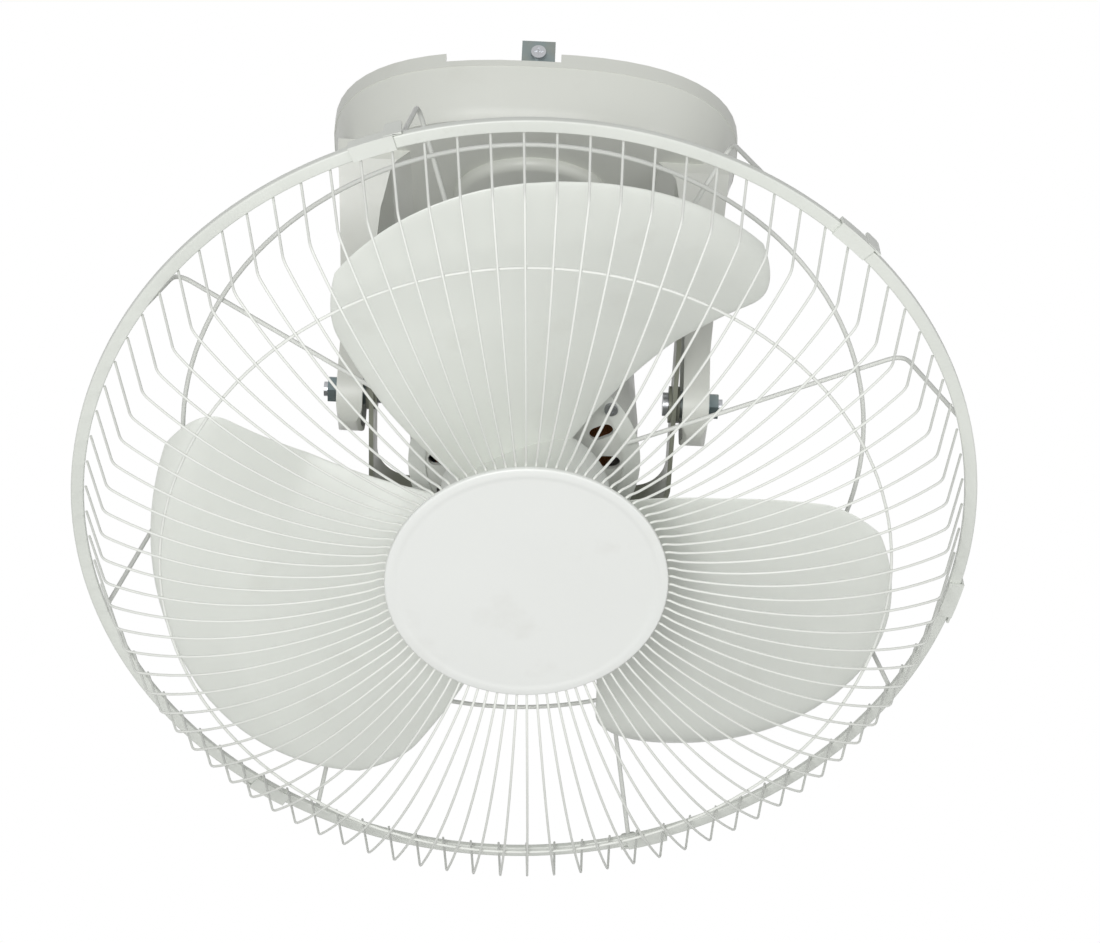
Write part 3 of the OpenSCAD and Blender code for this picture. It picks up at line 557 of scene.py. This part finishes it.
def blade_point(u, v, side):
    """A point of a blade: u from hub to tip, v from leading to trailing edge, side 1 is front."""
    corner = max(0.0, u - LEAD_CORNER) / (1 - LEAD_CORNER)
    lead = -BLADE_SPAN * (LEAD_ROOT + LEAD_GAIN * u - LEAD_PULL * corner ** 3)
    corner = max(0.0, u - TRAIL_CORNER) / (1 - TRAIL_CORNER)
    trail = BLADE_SPAN * (TRAIL_ROOT - TRAIL_LOSS * u - TRAIL_PULL * corner ** 2)
    a = lead + (trail - lead) * v
    farthest = BLADE_SPAN / 10
    fall = TIP_FALL_LEAD if a < farthest else TIP_FALL_TRAIL
    tip = BLADE_R - fall * (a - farthest) ** 2
    r = BLADE_ROOT + (tip - BLADE_ROOT) * u
    camber = math.sin(math.radians(CAMBER_ANGLE * v)) - CAMBER_MIDDLE - ROOT_DROP * (1 - u)
    rise = BLADE_PITCH * camber * min(1.0, ROOT_PITCH + PITCH_GROWTH * u)
    thin = (math.sqrt(max(0.0, 1 - abs(2 * v - 1) ** EDGE_SQUARE))
            * math.sqrt(max(0.0, 1 - u ** TIP_SQUARE)))
    half = BLADE_T / 2 * (0.5 + 0.5 * math.sin(math.pi * v)) * thin
    a = math.radians(a)
    return r * math.cos(a), r * math.sin(a), BLADE_Z + rise + side * half


def crowded_at_tip(count):
    """Places from 0 to 1 that lie closer together towards 1."""
    return [math.sin(math.pi / 2 * k / count) for k in range(count + 1)]


def crowded_at_edges(count):
    """Places from 0 to 1 that lie closer together towards both ends."""
    waves = [math.cos(math.pi * k / count) for k in range(count + 1)]
    return [0.5 - 0.5 * math.copysign(abs(w) ** 0.75, w) for w in waves]


def propeller():
    along, across = crowded_at_tip(BLADE_ROWS), crowded_at_edges(BLADE_COLUMNS)
    rows, columns = len(along), len(across)
    points = [blade_point(u, v, side) for side in (1, -1) for u in along for v in across]
    faces = []

    def at(back, i, j):
        return back * rows * columns + i * columns + j

    for i in range(rows - 1):
        for j in range(columns - 1):
            faces.append([at(0, i, j), at(0, i + 1, j), at(0, i + 1, j + 1), at(0, i, j + 1)])
            faces.append([at(1, i, j), at(1, i, j + 1), at(1, i + 1, j + 1), at(1, i + 1, j)])
    for j in range(columns - 1):
        faces.append([at(0, 0, j), at(0, 0, j + 1), at(1, 0, j + 1), at(1, 0, j)])
    form = Form()
    for place in BLADE_PLACES:
        form.add((points, faces), place)
    floor, wall = HUB_FRONT - HUB_WALL, HUB_R - HUB_WALL
    hub = [(HUB_BORE_R, HUB_BACK), (HUB_SLEEVE_R, HUB_BACK), (HUB_SLEEVE_R, floor),
           (wall, floor), (wall, HUB_BACK), (HUB_R, HUB_BACK), (HUB_R, HUB_FRONT),
           (HUB_BORE_R, HUB_FRONT)]
    form.add(turned(rounded(hub, {3: 2, 5: 0.6, 6: 5}), steps=96))
    form.piece("propeller_moulded", "propeller", sharp=50)


def eased(node, width):
    """A copy of a CAD node whose sharp edges are rounded."""
    mesh = frame["nodes"][node].data.copy()
    mesh.name = node + "_eased"
    reshape(mesh, WELD_NODE,
            lambda work: bmesh.ops.dissolve_limit(work, angle_limit=math.radians(1.0),
                                                  verts=work.verts, edges=work.edges))
    obj = stand_in(node + "_eased", mesh, node, EASED_ANGLE)
    soft = obj.modifiers.new("rounded_edges", "BEVEL")
    soft.width = width * MM
    soft.segments = 2
    soft.limit_method = "ANGLE"
    soft.angle_limit = math.radians(EASED_ANGLE)
    level = obj.modifiers.new("even_shading", "WEIGHTED_NORMAL")
    level.keep_sharp = True


front_wires()
rear_spokes()
rim_band()
centre_cap()
propeller()
for eased_node, rounding in EASED_NODES.items():
    eased(eased_node, rounding)


# ---- studio and camera ----
def white_world():
    """White to the camera, to glass and in reflections, and a soft fill for everything else."""
    world = bpy.data.worlds.new("soft_white_studio")
    bpy.context.scene.world = world
    world.use_nodes = True
    sky = Nodes(world.node_tree)
    camera, glass, shiny = (sky.node("ShaderNodeLightPath", {}, {}, f"Is {ray} Ray")
                            for ray in ("Camera", "Transmission", "Glossy"))
    soft, white = (sky.node("ShaderNodeBackground", {}, {"Color": (1, 1, 1, 1), "Strength": power})
                   for power in (0.26, 1.0))
    sky.close("ShaderNodeOutputWorld",
              sky.node("ShaderNodeMixShader", {}, {0: camera | glass | shiny, 1: soft, 2: white}))


def light_panel(name, place, size, power):
    """A round lamp that faces the fan."""
    data = bpy.data.lights.new(name, "AREA")
    data.shape = "DISK"
    data.size = size
    data.energy = power
    lamp = bpy.data.objects.new(name, data)
    lamp.location = place
    lamp.rotation_mode = "QUATERNION"
    lamp.rotation_quaternion = (Vector((0, 0, -0.2)) - Vector(place)).to_track_quat("-Z", "Y")
    bpy.context.scene.collection.objects.link(lamp)


def studio_floor(half, height):
    mesh = bpy.data.meshes.new("studio_floor")
    corners = [(-half, -half, height), (half, -half, height), (half, half, height),
               (-half, half, height)]
    mesh.from_pydata(corners, [], [(0, 1, 2, 3)])
    floor = bpy.data.objects.new("studio_floor", mesh)
    bpy.context.scene.collection.objects.link(floor)
    f = Finish("floor_look")
    shade = f.mix(f.span(f.noise(2, 3), 0.3, 0.7), (0.80, 0.80, 0.79, 1), (0.84, 0.84, 0.83, 1))
    mesh.materials.append(f.surface({"Roughness": 0.8}, {"Base Color": shade}))


def photo_camera():
    data = bpy.data.cameras.new("photo_camera")
    data.sensor_fit = "HORIZONTAL"
    data.sensor_width = SENSOR_WIDTH
    data.lens = PHOTO_FOCAL / PHOTO_WIDTH * SENSOR_WIDTH
    data.clip_start = 0.05
    data.clip_end = 50
    camera = bpy.data.objects.new("photo_camera", data)
    forward = Vector(CAMERA_FORWARD).normalized()
    up = Vector(CAMERA_UP)
    up = (up - forward * up.dot(forward)).normalized()
    facing = Matrix((forward.cross(up), up, -forward)).transposed().to_4x4()
    camera.matrix_world = Matrix.Translation(CAMERA_PLACE) @ facing
    bpy.context.scene.collection.objects.link(camera)
    bpy.context.scene.camera = camera


bpy.context.scene.view_settings.view_transform = "Standard"
white_world()
light_panel("front_panel", (-0.35, -2.1, -1.25), size=1.3, power=39)
light_panel("side_panel", (1.8, -1.2, -1.2), size=1.2, power=8)
studio_floor(half=6, height=-2.4)
photo_camera()
